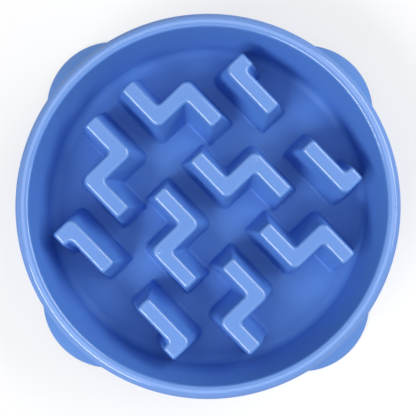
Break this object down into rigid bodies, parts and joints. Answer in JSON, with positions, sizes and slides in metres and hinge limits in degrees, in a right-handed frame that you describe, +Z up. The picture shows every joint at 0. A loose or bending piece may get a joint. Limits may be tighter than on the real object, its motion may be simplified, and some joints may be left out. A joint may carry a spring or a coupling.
{
  "type": "slow feeder bowl",
  "caption": "Round pet bowl with raised maze ridges that slow eating, a bevelled rim, and a lobed base on push-in rubber feet.",
  "frame": {"origin": "on the table under the middle of the bowl", "axes": "+Z up, X and Y along the four lobes of the base, the ridges mirrored across the XZ plane"},
  "size_m": [0.288, 0.288, 0.066],
  "materials": {
    "bowl_plastic": "light blue injection-moulded plastic with a soft sheen",
    "foot_rubber": "dark grey matt rubber"
  },
  "bodies": {
    "root": {"bowl_shell": "bowl_plastic", "foot_right": "foot_rubber", "foot_back": "foot_rubber", "foot_left": "foot_rubber", "foot_front": "foot_rubber"}
  },
  "joints": []
}
